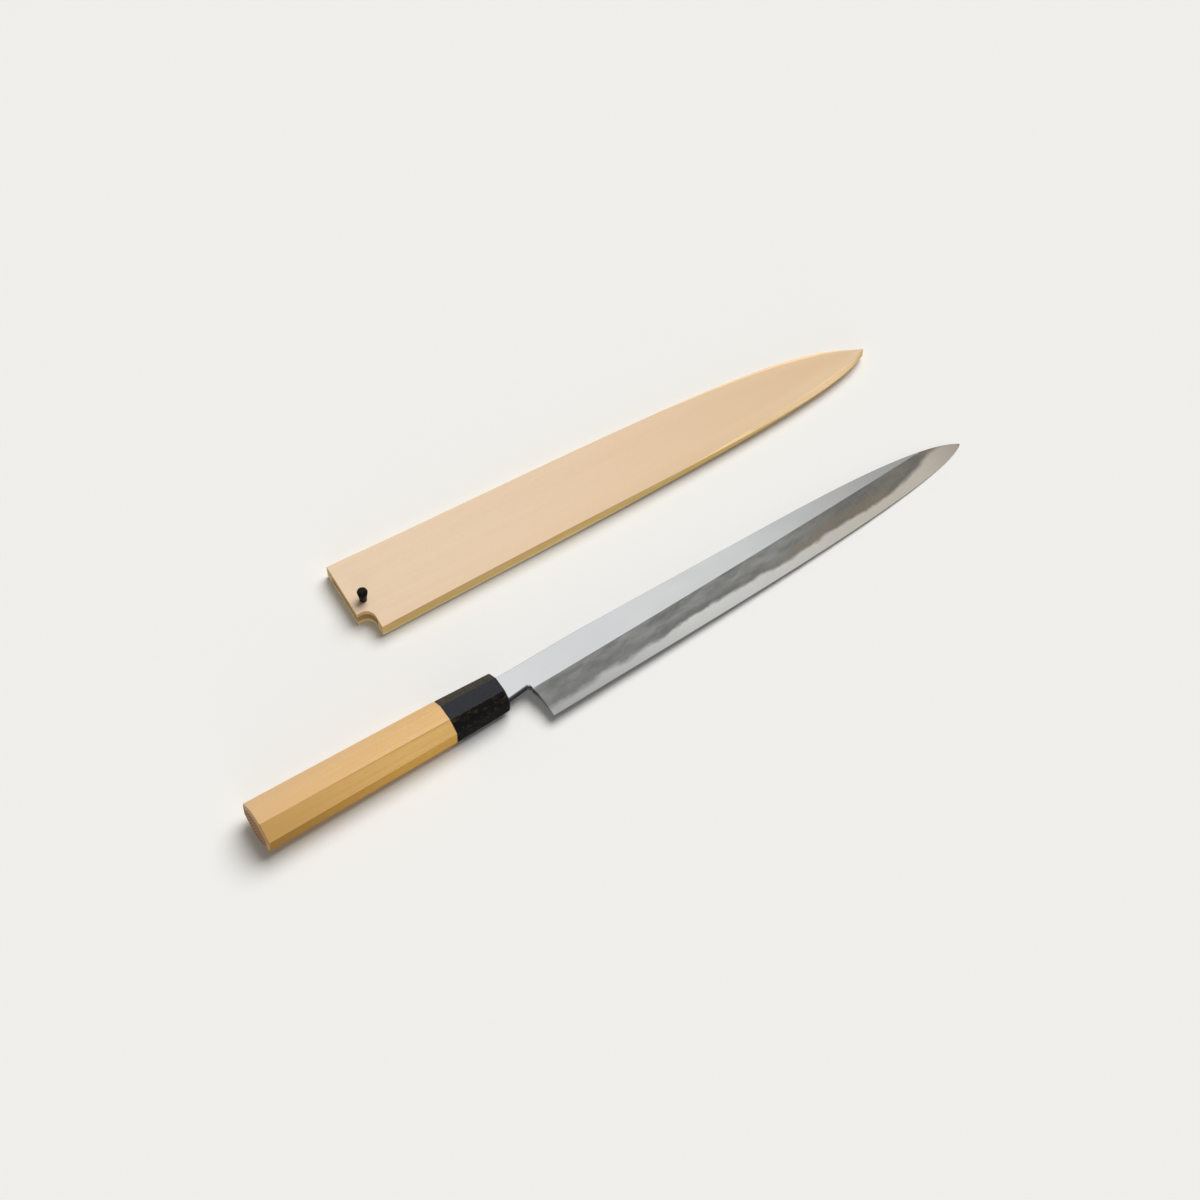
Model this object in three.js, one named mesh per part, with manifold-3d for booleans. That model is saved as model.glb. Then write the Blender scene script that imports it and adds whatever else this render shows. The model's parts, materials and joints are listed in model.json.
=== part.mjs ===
// Single-bevel sashimi knife with an octagonal wooden handle, lying beside its wooden sheath.
//
// Millimetres, +Z up. +X runs along the knife to the tip and +Y from the cutting edge to the spine.
// The knife is drawn with its handle axis on X and the front of the ferrule at x = 0, bevel side up.
// The sheath is drawn in the same frame, where it sits when it covers the blade, and both are then
// laid on the table the way they rest: the knife on its ferrule and tip, the sheath on its back board.

import * as THREE from 'three';
import { mergeVertices } from 'three/addons/utils/BufferGeometryUtils.js';
import Module from 'manifold-3d';

const wasm = await Module();
wasm.setup();

// Blade outline, seen from above
const bladeReach = 285.5; // front of the ferrule to the tip
const neckLength = 15.5; // front of the ferrule to the heel
const spineRise = 8.4; // spine above the handle axis
const heelDrop = 25.2; // heel corner below the handle axis
const tipDrop = 4; // tip below the handle axis
const neckRise = 7.1; // top of the neck at the ferrule, above the handle axis
const neckDrop = 7; // underside of the neck at the ferrule, below the handle axis
const choilDrop = 5.6; // underside of the neck at the choil, below the handle axis
const neckBlend = 55; // the spine rises from neck to full height over this length
const choilRadius = 1.8; // hollow corner between the neck and the heel
const heelRake = 1.9; // the heel curves back by this much on its way up to the choil
const heelStraight = 12; // lower part of the heel, which sets that curve off upright
const heelLean = 19; // degrees that the heel leans by where it meets the choil
const spineSweep = 135; // length of the spine that bends down to the tip
const spineSweepLead = 38; // how long the spine stays straight into that bend
const spineTipLead = 17.2; // pull of the spine curve at the tip, along X
const spineTipRise = 13.7; // and across it
const edgeLead = 92; // near-straight run of the edge from the heel
const edgeLeadRise = 3.3; // how far the edge climbs over that run
const edgeTipLead = 19.2; // pull of the edge curve at the tip, along X
const edgeTipDrop = 15.5; // and across it
const ridgeDrop = 8; // ridge line at the heel, below the handle axis
const ridgeBow = 0.95; // slight bow of the ridge line towards the edge, at its middle
const ridgeShort = 21; // the ridge line runs out on the spine this far short of the tip
const tipBlunt = 0.25; // left off the point of the blade and of the sheath, so that they end in a small face

// Blade section
const spineThickness = 4; // at the neck
const bodyThickness = 3.3; // the value that the taper leans towards along the body
const tipThickness = 0.6;
const ridgeThinning = 0.24; // the flat is this much thinner at the ridge than at the spine, at the heel
const edgeThickness = 0.25; // the honed edge, left blunt enough to be a solid
const spineEase = 0.4; // small bevel on both corners of the spine, at the neck
const leastFlat = 0.05; // the flat over the ridge line keeps at least this share of the blade's height
const backRim = 1.6; // flat border round the hollow back
const rimShare = 0.2; // towards the tip it keeps to this share of the height
const hollowDepth = 0.45; // hollow of the back
const hollowHeelGap = 5; // the hollow starts this far from the heel
const hollowTipGap = 9; // and ends this far from the tip
const steelThickness = 1.45; // hard steel on the back, at the heel
const steelRunBack = 3; // the steel runs this far past the heel, into the neck
const weldWave = 0.12; // waver of the forge weld, which shows on the bevel as the cloudy border
const weldWaveLength = 58;
const weldRipple = 0.07;
const weldRippleLength = 21;
const weldRipplePhase = 1;
const weldSeam = 0.15; // seam between iron and steel

// Tang
const tangLength = 98; // front of the ferrule to the end of the tang
const neckInset = 2; // the neck enters the ferrule by this much before it steps down to the tang
const tangHeight = 8; // at the shoulder
const tangThickness = 3.2;
const tangEndHeight = 5;
const tangEndThickness = 2.4;
const tangGap = 0.3; // all round the tang in the ferrule and the handle

// Handle: octagons at the front of the ferrule, at the joint and at the butt
const ferruleLength = 32;
const gripLength = 108;
const frontWidth = 19.7;
const frontThickness = 16.6;
const frontCut = 4.1; // corner cut of the octagon, measured down its sides
const jointWidth = 21.8;
const jointThickness = 18.1;
const jointCut = 4.65;
const buttWidth = 25.5;
const buttThickness = 20.2;
const buttCut = 6;
const cutSpread = 1.36; // a corner cut reaches this much further across than down
const frontRound = 1.4; // rounded rim at the front of the ferrule
const buttEase = 0.9; // broken edge round the butt
const tenonDiameter = 12.4; // round tenon of the grip inside the ferrule
const tenonLength = 18;
const seatGap = 0.2; // between the grip, its tenon and the ferrule

// Sheath, in the frame of the covered blade
const mouthGap = 1.5; // front of the ferrule to the mouth
const slotThickness = 4.4; // thickness of the core strips, and so of the blade slot
const slotClearance = 0.8; // between the slot walls and the blade's spine and edge
const slotTipClearance = 3; // in front of the tip
const spineWall = 5.3; // core strip along the spine, at the mouth
const edgeWall = 5.6; // core strip along the edge, at the mouth
const boardThickness = 2.8; // front and back board, along the middle
const boardTipThickness = 1.2; // along the middle, at the tip
const boardTaper = 160; // length over which the boards thin to the tip
const mouthSide = 8.4; // height of the long sides, at the mouth
const tipSide = 1; // and towards the tip
const sideFull = 90; // they keep their height up to here
const sideThin = 290; // and have thinned from here on
const shoulderWidth = 9; // the faces round over to the long sides across this width
const shoulderShare = 0.4; // and across this share of their own width at most
const glueLine = 0.1; // between the boards and the strips
const sheathTipReach = 29; // solid wood in front of the blade's tip
const sheathTipDrop = 9.3; // tip of the sheath below the handle axis
const sheathSpineLead = 182; // near-straight run of the spine side
const sheathSpineFall = 5; // how far it falls over that run
const sheathSpineTipLead = 28.7; // pull of the spine-side curve at the tip, along X
const sheathSpineTipRise = 28.3; // and across it
const sheathEdgeLead = 148; // the same four for the edge side
const sheathEdgeRise = 5.3;
const sheathEdgeTipLead = 20.8;
const sheathEdgeTipDrop = 18.8;
const notchDepth = 8; // step in the mouth on the edge side
const notchHeight = 12.7; // length of that step across the sheath
const notchRadius = 5.5;

// Pin that keeps the blade in the sheath
const pinFromMouth = 7;
const pinBelowNeck = 7.1; // pin axis under the underside of the neck at the choil
const pinShaftDiameter = 3.5; // where it enters the front board
const pinEndDiameter = 3;
const pinHeadDiameter = 5.6;
const pinHeadHeight = 9; // head above the front board
const pinDome = 1.5; // domed part of the head
const pinEndGap = 0.8; // end of the pin above the outside of the back board
const pinGap = 0.2; // round the shaft in the boards

// How the two lie on the table
const sheathTurn = -2.95; // degrees about Z, against the knife
const sheathBesideX = -35.9; // spine-side corner of the mouth, from the front of the ferrule
const sheathBesideY = 109.9;

// Fineness of the faceted surfaces
const bladeStations = 72;
const weldStations = 84;
const hollowSteps = 6;
const sheathStations = 48;
const shoulderSteps = 4;
const rimSteps = 4;
const roundSegments = 32;
const tipCrowding = 1.5; // stations along the blade and the sheath draw together towards the tip
const halvings = 40; // steps to the place on a curve that has a given x

const beyond = 5; // how far a cutter runs past what it cuts

// Lofts, solids and booleans

// Joins rings of [y, z] points at stations along X. Every ring runs anticlockwise seen from +X.
function loft(stations, ringAt) {
  const rings = stations.map((x) => ringAt(x));
  const count = rings[0].length;
  const last = rings.length - 1;
  const positions = rings.flatMap((ring, i) => ring.flatMap(([y, z]) => [stations[i], y, z]));
  const index = [];
  for (let i = 0; i < last; i += 1) {
    for (let k = 0; k < count; k += 1) {
      const next = (k + 1) % count;
      const a = i * count + k;
      const b = i * count + next;
      index.push(a, b, b + count, a, b + count, a + count);
    }
  }
  const flat = (ring) => ring.map(([y, z]) => new THREE.Vector2(y, z));
  for (const [a, b, c] of THREE.ShapeUtils.triangulateShape(flat(rings[0]), [])) {
    index.push(c, b, a);
  }
  const start = last * count;
  for (const [a, b, c] of THREE.ShapeUtils.triangulateShape(flat(rings[last]), [])) {
    index.push(start + a, start + b, start + c);
  }
  const geometry = new THREE.BufferGeometry();
  geometry.setAttribute('position', new THREE.Float32BufferAttribute(positions, 3));
  geometry.setIndex(index);
  return geometry;
}

function solid(geometry) {
  geometry.deleteAttribute('normal');
  geometry.deleteAttribute('uv');
  const merged = mergeVertices(geometry);
  return new wasm.Manifold(new wasm.Mesh({
    numProp: 3,
    vertProperties: new Float32Array(merged.attributes.position.array),
    triVerts: new Uint32Array(merged.index.array),
  }));
}

function geometryOf(manifold) {
  const mesh = manifold.getMesh();
  const geometry = new THREE.BufferGeometry();
  geometry.setAttribute('position', new THREE.BufferAttribute(mesh.vertProperties, 3));
  geometry.setIndex(new THREE.BufferAttribute(mesh.triVerts, 1));
  return geometry;
}

function box(lowX, highX, lowY, highY, lowZ, highZ) {
  const geometry = new THREE.BoxGeometry(highX - lowX, highY - lowY, highZ - lowZ);
  geometry.translate((lowX + highX) / 2, (lowY + highY) / 2, (lowZ + highZ) / 2);
  return geometry;
}

// An outline in X and Y, pulled through a range of Z
function prism(shape, lowZ, highZ) {
  const geometry = new THREE.ExtrudeGeometry(shape, {
    depth: highZ - lowZ,
    bevelEnabled: false,
    curveSegments: roundSegments / 4,
  });
  geometry.translate(0, 0, lowZ);
  return geometry;
}

// Evenly spaced stations, or drawn closer together towards the far end
function stationsBetween(low, high, count, crowding = 1) {
  return Array.from({ length: count + 1 }, (_, i) => high - (high - low) * (1 - i / count) ** crowding);
}

function curve(...points) {
  return new THREE.CubicBezierCurve(...points.map(([x, y]) => new THREE.Vector2(x, y)));
}

// Height of a curve that always runs forward in X
function heightAt(path, x) {
  let low = 0;
  let high = 1;
  for (let i = 0; i < halvings; i += 1) {
    const middle = (low + high) / 2;
    if (path.getPoint(middle).x < x) low = middle;
    else high = middle;
  }
  return path.getPoint(low).y;
}

const { clamp, degToRad, lerp, smoothstep } = THREE.MathUtils;

// Blade

const spineCurve = curve(
  [bladeReach - spineSweep, spineRise],
  [bladeReach - spineSweep + spineSweepLead, spineRise],
  [bladeReach - spineTipLead, spineTipRise - tipDrop],
  [bladeReach, -tipDrop],
);
const edgeCurve = curve(
  [neckLength, -heelDrop],
  [neckLength + edgeLead, edgeLeadRise - heelDrop],
  [bladeReach - edgeTipLead, -edgeTipDrop - tipDrop],
  [bladeReach, -tipDrop],
);

// The back of the blade lies in one plane, half the spine's thickness under the handle axis
const backLevel = -spineThickness / 2;
const ridgeEnd = bladeReach - ridgeShort;

function spineLineAt(x) {
  return x < bladeReach - spineSweep ? spineRise : heightAt(spineCurve, x);
}

function spineAt(x) {
  return spineLineAt(x) - (spineRise - neckRise) * (1 - smoothstep(x, 0, neckBlend));
}

function edgeAt(x) {
  return x < neckLength ? -heelDrop : heightAt(edgeCurve, x);
}

function ridgeAt(x) {
  const along = (x - neckLength) / (ridgeEnd - neckLength);
  return lerp(-ridgeDrop, heightAt(spineCurve, ridgeEnd), along) - ridgeBow * 4 * along * (1 - along);
}

// Distal taper of the spine, slow along the body and quick at the tip
function thicknessAt(x) {
  const s = clamp((x - neckLength) / (bladeReach - neckLength), 0, 1);
  return (1 - s) ** 2 * spineThickness + 2 * s * (1 - s) * bodyThickness + s ** 2 * tipThickness;
}

function hollowAt(x) {
  const start = neckLength + hollowHeelGap;
  const end = bladeReach - hollowTipGap;
  const s = clamp((x - start) / (end - start), 0, 1);
  return hollowDepth * (thicknessAt(x) / spineThickness) * (1 - (2 * s - 1) ** 4);
}

// Spine, flat, ridge, bevel, edge, and the hollow back with its flat border
function bladeSection(x) {
  const spine = spineAt(x);
  const edge = edgeAt(x);
  const height = spine - edge;
  const thickness = thicknessAt(x);
  const taper = thickness / spineThickness;
  const ease = spineEase * taper;
  const ridge = Math.min(ridgeAt(x), spine - ease - height * leastFlat);
  const rim = Math.min(backRim, height * rimShare);
  const top = backLevel + thickness;
  const hollow = hollowAt(x);
  const back = [];
  for (let k = 0; k <= hollowSteps; k += 1) {
    const s = k / hollowSteps;
    back.push([lerp(edge + rim, spine - rim, s), backLevel + hollow * 4 * s * (1 - s)]);
  }
  return [
    [spine, top - ease],
    [spine - ease, top],
    [ridge, top - ridgeThinning * taper],
    [edge, backLevel + edgeThickness * taper],
    [edge, backLevel],
    ...back,
    [spine - ease, backLevel],
    [spine, backLevel + ease],
  ];
}

function tangSolid(gap) {
  const root = neckInset;
  const end = -tangLength - gap;
  const middle = (neckRise - neckDrop) / 2;
  const ring = (x) => {
    const s = clamp((x + tangLength) / tangLength, 0, 1);
    const halfHeight = lerp(tangEndHeight, tangHeight, s) / 2 + gap;
    const halfThickness = lerp(tangEndThickness, tangThickness, s) / 2 + gap;
    const centre = middle * s;
    return [
      [centre + halfHeight, halfThickness],
      [centre - halfHeight, halfThickness],
      [centre - halfHeight, -halfThickness],
      [centre + halfHeight, -halfThickness],
    ];
  };
  return solid(loft([end, -tangLength / 2, root], ring));
}

// Everything under the neck and behind the heel, with the rounded choil
function heelCut() {
  const behind = -neckInset - beyond;
  const under = -heelDrop - beyond;
  const lean = degToRad(heelLean);
  const choilX = neckLength - heelRake - choilRadius * Math.cos(lean);
  const choilY = -choilDrop - choilRadius;
  const shape = new THREE.Shape();
  shape.moveTo(behind, under);
  shape.lineTo(neckLength, under);
  shape.lineTo(neckLength, -heelDrop);
  shape.quadraticCurveTo(
    neckLength,
    heelStraight - heelDrop,
    neckLength - heelRake,
    choilY - choilRadius * Math.sin(lean),
  );
  shape.absarc(choilX, choilY, choilRadius, -lean, Math.PI / 2, false);
  shape.lineTo(0, -neckDrop);
  shape.lineTo(behind, -neckDrop);
  return solid(prism(shape, backLevel - beyond, spineThickness + beyond));
}

// Level of the forge weld between the iron and the steel, wavering along the blade
function weldAt(x) {
  const wave = weldWave * Math.sin((2 * Math.PI * x) / weldWaveLength);
  const ripple = weldRipple * Math.sin((2 * Math.PI * x) / weldRippleLength + weldRipplePhase);
  return backLevel + (steelThickness + wave + ripple) * (thicknessAt(x) / spineThickness);
}

// All of the blade that lies under the weld, raised by the seam where the iron is cut
function underWeld(raise) {
  const stations = stationsBetween(neckLength - steelRunBack - raise, bladeReach + beyond, weldStations);
  const high = spineRise + beyond;
  const low = -heelDrop - beyond;
  return solid(loft(stations, (x) => [
    [high, weldAt(x) + raise],
    [low, weldAt(x) + raise],
    [low, backLevel - beyond],
    [high, backLevel - beyond],
  ]));
}

function wholeBlade() {
  const stations = stationsBetween(-neckInset, bladeReach - tipBlunt, bladeStations, tipCrowding);
  return solid(loft(stations, bladeSection)).subtract(heelCut());
}

// Handle

// Octagon with its corners cut further across than down, shrunk by inset on every side
function octagon(width, thickness, cut, inset = 0) {
  const y = width / 2 - inset;
  const z = thickness / 2 - inset;
  const across = cut * cutSpread;
  const shrink = inset * (cut + across - Math.hypot(cut, across));
  const cutZ = cut - shrink / across;
  const cutY = across - shrink / cut;
  return [
    [y - cutY, z],
    [cutY - y, z],
    [-y, z - cutZ],
    [-y, cutZ - z],
    [cutY - y, -z],
    [y - cutY, -z],
    [y, cutZ - z],
    [y, z - cutZ],
  ];
}

function ferruleSolid() {
  const rings = [[-ferruleLength, octagon(jointWidth, jointThickness, jointCut)]];
  for (let k = 0; k <= rimSteps; k += 1) {
    const angle = (k / rimSteps) * (Math.PI / 2);
    const x = -frontRound * (1 - Math.sin(angle));
    rings.push([x, octagon(frontWidth, frontThickness, frontCut, frontRound * (1 - Math.cos(angle)))]);
  }
  const outside = loft(rings.map(([x]) => x), (x) => rings.find(([station]) => station === x)[1]);
  const neckHole = box(
    -neckInset - tangGap,
    beyond,
    -neckDrop - tangGap,
    neckRise + tangGap,
    backLevel - tangGap,
    -backLevel + tangGap,
  );
  const socketDepth = tenonLength + seatGap;
  const socket = roundBar(tenonDiameter / 2 + seatGap, -ferruleLength - beyond, socketDepth - ferruleLength);
  return solid(outside).subtract(solid(neckHole)).subtract(tangSolid(tangGap)).subtract(solid(socket));
}

function roundBar(radius, lowX, highX) {
  const geometry = new THREE.CylinderGeometry(radius, radius, highX - lowX, roundSegments);
  geometry.rotateZ(Math.PI / 2);
  geometry.translate((lowX + highX) / 2, 0, 0);
  return geometry;
}

function gripSolid() {
  const front = -ferruleLength - seatGap;
  const butt = front - gripLength;
  const rings = new Map([
    [butt, octagon(buttWidth, buttThickness, buttCut, buttEase)],
    [butt + buttEase, octagon(buttWidth, buttThickness, buttCut)],
    [front, octagon(jointWidth, jointThickness, jointCut)],
  ]);
  const body = loft([...rings.keys()], (x) => rings.get(x));
  const tenon = roundBar(tenonDiameter / 2, front - beyond, tenonLength - ferruleLength);
  return solid(body).add(solid(tenon)).subtract(tangSolid(tangGap));
}

// Sheath

const sheathTip = bladeReach - mouthGap + sheathTipReach;
const sheathSpine = spineRise + slotClearance + spineWall;
const sheathEdge = -heelDrop - slotClearance - edgeWall;
const sheathSpineCurve = curve(
  [0, sheathSpine],
  [sheathSpineLead, sheathSpine - sheathSpineFall],
  [sheathTip - sheathSpineTipLead, sheathSpineTipRise - sheathTipDrop],
  [sheathTip, -sheathTipDrop],
);
const sheathEdgeCurve = curve(
  [0, sheathEdge],
  [sheathEdgeLead, sheathEdge + sheathEdgeRise],
  [sheathTip - sheathEdgeTipLead, -sheathEdgeTipDrop - sheathTipDrop],
  [sheathTip, -sheathTipDrop],
);
const sheathRun = stationsBetween(0, sheathTip - tipBlunt, sheathStations, tipCrowding);
const slotEnd = bladeReach - mouthGap + slotTipClearance;
const backTop = boardThickness;
const coreBottom = backTop + glueLine;
const coreTop = coreBottom + slotThickness;
const frontBottom = coreTop + glueLine;
const sheathThickness = frontBottom + boardThickness;

// Where the two core strips meet in front of the blade's tip
function stripMeetAt(x) {
  return lerp(-tipDrop, -sheathTipDrop, clamp((x - slotEnd) / (sheathTip - slotEnd), 0, 1));
}

function slotSpineAt(x) {
  const blade = Math.min(x + mouthGap, bladeReach);
  return x > slotEnd ? stripMeetAt(x) + glueLine / 2 : spineLineAt(blade) + slotClearance;
}

function slotEdgeAt(x) {
  const blade = Math.min(x + mouthGap, bladeReach);
  return x > slotEnd ? stripMeetAt(x) - glueLine / 2 : edgeAt(blade) - slotClearance;
}

function sheathSpineAt(x) {
  return heightAt(sheathSpineCurve, x);
}

function sheathEdgeAt(x) {
  return heightAt(sheathEdgeCurve, x);
}

// Outside of the glued sheath: flat along its middle, rounded over to its long sides, thinner to the tip
function sheathSection(x) {
  const spine = sheathSpineAt(x);
  const edge = sheathEdgeAt(x);
  const width = Math.min(shoulderWidth, (spine - edge) * shoulderShare);
  const board = lerp(boardThickness, boardTipThickness, clamp(1 - (sheathTip - x) / boardTaper, 0, 1) ** 2);
  const middle = sheathThickness / 2 - boardThickness + board;
  const side = lerp(mouthSide, tipSide, smoothstep(x, sideFull, sideThin)) / 2;
  const shoulder = [];
  for (let k = 0; k <= shoulderSteps; k += 1) {
    const s = k / shoulderSteps;
    shoulder.push([width * s, middle - (middle - side) * (1 - s) ** 2]);
  }
  const upper = [
    ...shoulder.map(([y, z]) => [spine - y, z]),
    ...shoulder.reverse().map(([y, z]) => [edge + y, z]),
  ];
  const lower = upper.map(([y, z]) => [y, -z]).reverse();
  return [...upper, ...lower].map(([y, z]) => [y, sheathThickness / 2 + z]);
}

const sheathBody = solid(loft(sheathRun, sheathSection));

// The step in the mouth on the edge side, with its rounded inner corner
function mouthNotch() {
  const top = sheathEdge + notchHeight;
  const shape = new THREE.Shape();
  shape.moveTo(-beyond, sheathEdge - beyond);
  shape.lineTo(notchDepth, sheathEdge - beyond);
  shape.lineTo(notchDepth, top - notchRadius);
  shape.absarc(notchDepth - notchRadius, top - notchRadius, notchRadius, 0, Math.PI / 2, false);
  shape.lineTo(-beyond, top);
  return solid(prism(shape, -beyond, sheathThickness + beyond));
}

const pinX = pinFromMouth;
const pinY = -choilDrop - pinBelowNeck;

function pinHole() {
  const radius = pinShaftDiameter / 2 + pinGap;
  const geometry = new THREE.CylinderGeometry(radius, radius, sheathThickness + 2 * beyond, roundSegments);
  geometry.rotateX(Math.PI / 2);
  geometry.translate(pinX, pinY, sheathThickness / 2);
  return solid(geometry);
}

// The layers are slices of the body between the glue lines
function boardSolid(low, high) {
  const slice = box(-beyond, sheathTip + beyond, sheathEdge - beyond, sheathSpine + beyond, low, high);
  return sheathBody.intersect(solid(slice)).subtract(mouthNotch()).subtract(pinHole());
}

function stripSolid(lowAt, highAt) {
  const strip = loft(sheathRun, (x) => [
    [highAt(x), coreTop],
    [lowAt(x), coreTop],
    [lowAt(x), coreBottom],
    [highAt(x), coreBottom],
  ]);
  return sheathBody.intersect(solid(strip)).subtract(mouthNotch());
}

// Tapered peg with a domed head, turned about its own axis
function pinGeometry() {
  const headTop = sheathThickness + pinHeadHeight;
  const crown = headTop - pinDome;
  const profile = [
    new THREE.Vector2(0, pinEndGap),
    new THREE.Vector2(pinEndDiameter / 2, pinEndGap),
    new THREE.Vector2(pinShaftDiameter / 2, sheathThickness),
    new THREE.Vector2(pinHeadDiameter / 2, crown),
  ];
  for (let k = 1; k <= rimSteps; k += 1) {
    const angle = (k / rimSteps) * (Math.PI / 2);
    const radius = k < rimSteps ? (pinHeadDiameter / 2) * Math.cos(angle) : 0;
    profile.push(new THREE.Vector2(radius, crown + pinDome * Math.sin(angle)));
  }
  const geometry = new THREE.LatheGeometry(profile, roundSegments);
  geometry.rotateX(Math.PI / 2);
  geometry.translate(pinX, pinY, 0);
  return geometryOf(solid(geometry));
}

// Assembly

function piece(name, geometry, color, roughness, metalness) {
  const mesh = new THREE.Mesh(geometry, new THREE.MeshStandardMaterial({ color, roughness, metalness }));
  mesh.name = name;
  return mesh;
}

const blade = wholeBlade();
const iron = blade.subtract(underWeld(weldSeam)).add(tangSolid(0));
const steel = blade.intersect(underWeld(0));

const knife = new THREE.Group();
knife.add(
  piece('blade_iron', geometryOf(iron), 0x8a8f92, 0.42, 1),
  piece('blade_steel', geometryOf(steel), 0xc2c4c2, 0.3, 1),
  piece('ferrule', geometryOf(ferruleSolid()), 0x14120f, 0.25, 0),
  piece('grip', geometryOf(gripSolid()), 0xd9b078, 0.65, 0),
);

const frontBoard = boardSolid(frontBottom, sheathThickness + beyond);
const backBoard = boardSolid(-beyond, backTop);
const spineStrip = stripSolid(slotSpineAt, () => sheathSpine + beyond);
const edgeStrip = stripSolid(() => sheathEdge - beyond, slotEdgeAt);

const sheath = new THREE.Group();
sheath.add(
  piece('sheath_front_board', geometryOf(frontBoard), 0xe4c8a2, 0.7, 0),
  piece('sheath_back_board', geometryOf(backBoard), 0xe4c8a2, 0.7, 0),
  piece('sheath_spine_strip', geometryOf(spineStrip), 0xd2ab74, 0.7, 0),
  piece('sheath_edge_strip', geometryOf(edgeStrip), 0xd2ab74, 0.7, 0),
  piece('sheath_pin', pinGeometry(), 0x171210, 0.35, 0),
);

// The knife lies back side down: it leans from the lowest edge of the handle to the tip
const handleEdges = [
  [-frontRound, frontThickness / 2],
  [-ferruleLength, jointThickness / 2],
  [buttEase - gripLength - seatGap - ferruleLength, buttThickness / 2],
];
const lean = Math.max(...handleEdges.map(([x, drop]) => (drop + backLevel) / (bladeReach - x)));
knife.rotation.y = Math.atan(lean);
knife.position.z = -new THREE.Box3().setFromObject(knife, true).min.z;

const turn = degToRad(sheathTurn);
const corner = new THREE.Vector2(0, sheathSpine).rotateAround(new THREE.Vector2(), turn);
sheath.rotation.z = turn;
sheath.position.set(sheathBesideX - corner.x, sheathBesideY - corner.y, 0);

// The origin is under the middle of the whole set, on the table
const set = new THREE.Group();
set.add(knife, sheath);
const extent = new THREE.Box3().setFromObject(set, true);
const middle = extent.getCenter(new THREE.Vector3());
set.position.set(-middle.x, -middle.y, -extent.min.z);

export default set;
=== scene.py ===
import json
import math

import bpy
from mathutils import Euler, Matrix, Quaternion, Vector

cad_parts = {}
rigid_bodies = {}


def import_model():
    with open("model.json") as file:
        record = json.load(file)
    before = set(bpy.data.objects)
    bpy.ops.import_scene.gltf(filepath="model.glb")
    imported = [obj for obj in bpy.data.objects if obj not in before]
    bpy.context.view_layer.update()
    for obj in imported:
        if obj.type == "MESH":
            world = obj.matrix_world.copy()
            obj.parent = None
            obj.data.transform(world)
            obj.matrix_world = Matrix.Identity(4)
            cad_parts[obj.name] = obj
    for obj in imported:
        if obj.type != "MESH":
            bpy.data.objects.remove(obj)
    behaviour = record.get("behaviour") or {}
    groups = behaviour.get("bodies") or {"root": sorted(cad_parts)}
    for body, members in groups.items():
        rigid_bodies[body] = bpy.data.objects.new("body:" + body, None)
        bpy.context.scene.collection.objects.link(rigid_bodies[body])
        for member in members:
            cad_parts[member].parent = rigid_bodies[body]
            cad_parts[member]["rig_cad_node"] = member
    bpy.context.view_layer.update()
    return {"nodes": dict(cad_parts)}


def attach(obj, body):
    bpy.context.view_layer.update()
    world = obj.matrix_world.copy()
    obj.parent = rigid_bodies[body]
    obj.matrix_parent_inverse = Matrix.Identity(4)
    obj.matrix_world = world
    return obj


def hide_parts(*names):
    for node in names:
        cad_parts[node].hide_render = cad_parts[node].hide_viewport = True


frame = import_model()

# Where the knife and the sheath lie, in metres and radians
MILLIMETRE = 0.001
KNIFE_PLACE = (-0.07239, -0.04235, 0.00834)  # middle of the ferrule's front
KNIFE_TURN = (0, math.radians(1.272), 0)  # the tip dips to the table
SHEATH_PLACE = (-0.10904, 0.05306, 0)  # on the mouth, in line with the handle axis of a covered blade
SHEATH_TURN = (0, 0, math.radians(-2.95))

# The blade in millimetres, in its own frame: X to the tip, Y to the spine, Z up
HEEL = 15.5
EDGE_LENGTH = 270
RIDGE_HEEL = -8
RIDGE_END = 3.36
RIDGE_LENGTH = 249
RIDGE_BOW = 0.95
SPINE_THICKNESS = 4
EVEN_THINNING = 1.4  # of the spine from the heel to the tip, in proportion to the length
LATE_THINNING = 2  # and with its square
BACK_LEVEL = -2
WELD_SEAM = 0.15
ARRIS_ROUNDING = 0.9  # of the polished edges at the neck and the choil
HEEL_ROUNDED_TO = -18  # down the heel the rounding ends here
HEEL_ROUNDING_FADE = 8  # after it has faded over this height
POLISHED_TO = HEEL + 1  # sides of the neck, the choil and the heel end before here
JOINED_TO = HEEL + 6  # flat faces before here are joined, so that their edges can be rounded
WISP_SLANT = math.radians(20)  # drawn-out marks in the iron run up towards the spine

# The handle in millimetres: rounding of its edges, and its wood
FERRULE_ROUNDING = 0.4
BUTT_ROUNDING = 0.9
HANDLED_ROUNDING = 0.6  # between the top and the near chamfer
PITH_AWAY = (0, 26, 18)  # from the pith of the grown trunk to the handle's axis

# The sheath in millimetres, its glue lines above the table
CORE_MIDDLE = 5.1
CORE_HALF = 2.2
GLUE_LINE = 0.1
SHEATH_TOP = 10  # about the height of its face; below it the pin takes a red tint as painted warm bounce light from the wood
PIN_HEAD = 5  # and how far above it that painted bounce light has faded
WORN_ROUNDING = 0.22
WORN_TO = 180  # the handled edges are worn round as far as here along X
MOST_LEAN = 0.58  # of the planed face, where it is rounded over to the near side
LEANING = "leaning"  # the mark that tells the wood how far it leans, where it takes a lighter colour as painted light

# Points and faces closer or smaller than this are merged, in metres
MERGED = 0.000001

# Limits on a face's normal: square to an axis, on the upper side, level, and leaning a little
SQUARE = 0.9
UPWARD = 0.5
LEVEL = 0.97
TILTED = 0.02
PLANED = 0.45  # the planed faces of the sheath look up or down by more than this
SIDEWAYS = 0.3  # slopes of grip and sheath look to the side by more than this

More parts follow.
